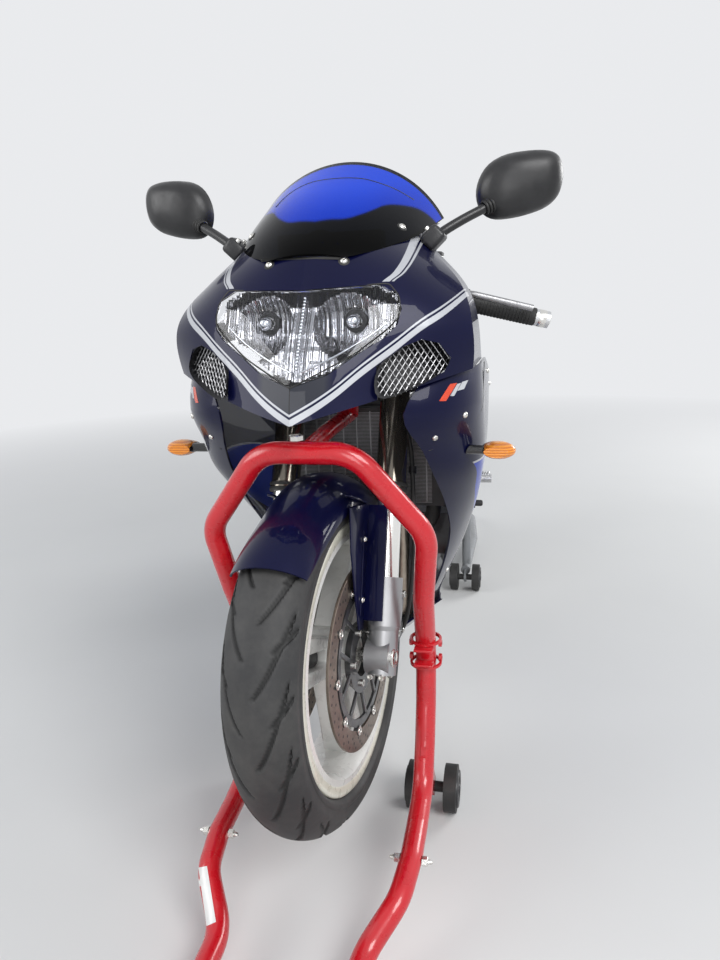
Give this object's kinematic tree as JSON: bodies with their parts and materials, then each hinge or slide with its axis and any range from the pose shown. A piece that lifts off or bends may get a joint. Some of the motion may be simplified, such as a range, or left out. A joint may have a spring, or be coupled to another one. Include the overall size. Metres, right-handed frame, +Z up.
{
  "type": "sport motorcycle on paddock stands",
  "caption": "Fully faired sport motorcycle held upright by a front head-lift stand and a rear paddock stand.",
  "frame": {"origin": "on the floor under the middle of the whole length, in the plane of symmetry", "axes": "-Y points forward, +X to the rider's left, +Z up"},
  "size_m": [0.7722, 2.504, 1.2293],
  "materials": {
    "brake_steel": "drilled and browned by heat",
    "bright_steel": "zinc plated",
    "caliper_black": "satin black",
    "chain_steel": "oiled links",
    "engine_grey": "satin grey casting paint",
    "fork_alloy": "satin anodised",
    "frame_alloy": "satin",
    "grey_enamel": "grey enamel",
    "grip_rubber": "moulded ribs",
    "indicator_amber": "amber lens",
    "lamp_glass": "clear lens",
    "lever_alloy": "satin",
    "mesh_wire": "woven wire",
    "mirror_black": "satin",
    "navy_paint": "gloss metallic dark navy",
    "pipe_steel": "heat tinted",
    "radiator_black": "satin black",
    "red_enamel": "gloss red",
    "roller_plastic": "moulded",
    "satin_black": "satin",
    "screen_acrylic": "blue tinted acrylic",
    "seat_vinyl": "grained vinyl",
    "silencer_metal": "brushed",
    "sprocket_steel": "oiled",
    "tail_red": "ribbed lens",
    "tyre_rubber": "ribbed road tread",
    "white_wheel_enamel": "gloss white enamel"
  },
  "bodies": {
    "chassis": {"belly_pan": "navy_paint", "drive_chain": "chain_steel", "engine_block": "engine_grey", "exhaust_pipes": "pipe_steel", "fairing_stay": "satin_black", "footrests": "fork_alloy", "front_indicators": "indicator_amber", "front_stand": "red_enamel", "fuel_tank": "navy_paint", "headlamp": "lamp_glass", "instrument_panel": "satin_black", "intake_meshes": "mesh_wire", "main_frame": "frame_alloy", "mirrors": "mirror_black", "nose_fairing": "navy_paint", "pillion_seat": "seat_vinyl", "pivot_bolt": "bright_steel", "radiator": "radiator_black", "rear_axle": "bright_steel", "rear_caliper": "caliper_black", "rear_indicators": "indicator_amber", "rear_mudguard": "satin_black", "rear_stand": "grey_enamel", "rider_seat": "seat_vinyl", "side_fairing_left": "navy_paint", "side_fairing_right": "navy_paint", "side_stand_bracket": "satin_black", "silencer": "silencer_metal", "stand_head_pin": "red_enamel", "stand_pads": "grip_rubber", "swingarm": "frame_alloy", "tail_fairing": "navy_paint", "tail_lamp": "tail_red", "windscreen": "screen_acrylic"},
    "steering": {"front_axle": "bright_steel", "fork_legs": "fork_alloy", "top_yoke": "fork_alloy", "bottom_yoke": "fork_alloy", "handlebars": "satin_black", "grips": "grip_rubber", "control_levers": "lever_alloy", "front_mudguard": "navy_paint", "front_calipers": "caliper_black"},
    "front_wheel": {"front_tyre": "tyre_rubber", "front_rim": "white_wheel_enamel", "front_discs": "brake_steel"},
    "rear_wheel": {"rear_tyre": "tyre_rubber", "rear_rim": "white_wheel_enamel", "rear_disc": "brake_steel", "rear_sprocket": "sprocket_steel"},
    "side_stand": {"side_stand": "satin_black"},
    "front_rollers_left": {"front_stand_rollers_left": "roller_plastic"},
    "front_rollers_right": {"front_stand_rollers_right": "roller_plastic"},
    "rear_rollers_left": {"rear_stand_rollers_left": "roller_plastic"},
    "rear_rollers_right": {"rear_stand_rollers_right": "roller_plastic"}
  },
  "joints": [
    {"name": "steering", "type": "hinge", "parent": "chassis", "child": "steering", "pos_m": [0, -0.67366, 0.37105], "axis": [0, 0.4067, 0.9135], "range_deg": [-21, 33]},
    {"name": "front_wheel_spin", "type": "hinge", "parent": "steering", "child": "front_wheel", "pos_m": [-0.00359, -0.70483, 0.38492], "axis": [0.9945, -0.0955, 0.0425], "continuous": true},
    {"name": "rear_wheel_spin", "type": "hinge", "parent": "chassis", "child": "rear_wheel", "pos_m": [0, 0.705, 0.365], "axis": [1, 0, 0], "continuous": true},
    {"name": "side_stand_fold", "type": "hinge", "parent": "chassis", "child": "side_stand", "pos_m": [0.136, 0.062, 0.335], "axis": [-0.9415, 0.1112, -0.3182], "range_deg": [0, 99]},
    {"name": "front_rollers_left_spin", "type": "hinge", "parent": "chassis", "child": "front_rollers_left", "pos_m": [0.165, -0.59, 0.045], "axis": [1, 0, 0], "continuous": true},
    {"name": "front_rollers_right_spin", "type": "hinge", "parent": "chassis", "child": "front_rollers_right", "pos_m": [-0.165, -0.59, 0.045], "axis": [1, 0, 0], "continuous": true},
    {"name": "rear_rollers_left_spin", "type": "hinge", "parent": "chassis", "child": "rear_rollers_left", "pos_m": [0.138, 0.5, 0.045], "axis": [1, 0, 0], "continuous": true},
    {"name": "rear_rollers_right_spin", "type": "hinge", "parent": "chassis", "child": "rear_rollers_right", "pos_m": [-0.138, 0.5, 0.045], "axis": [1, 0, 0], "continuous": true}
  ]
}
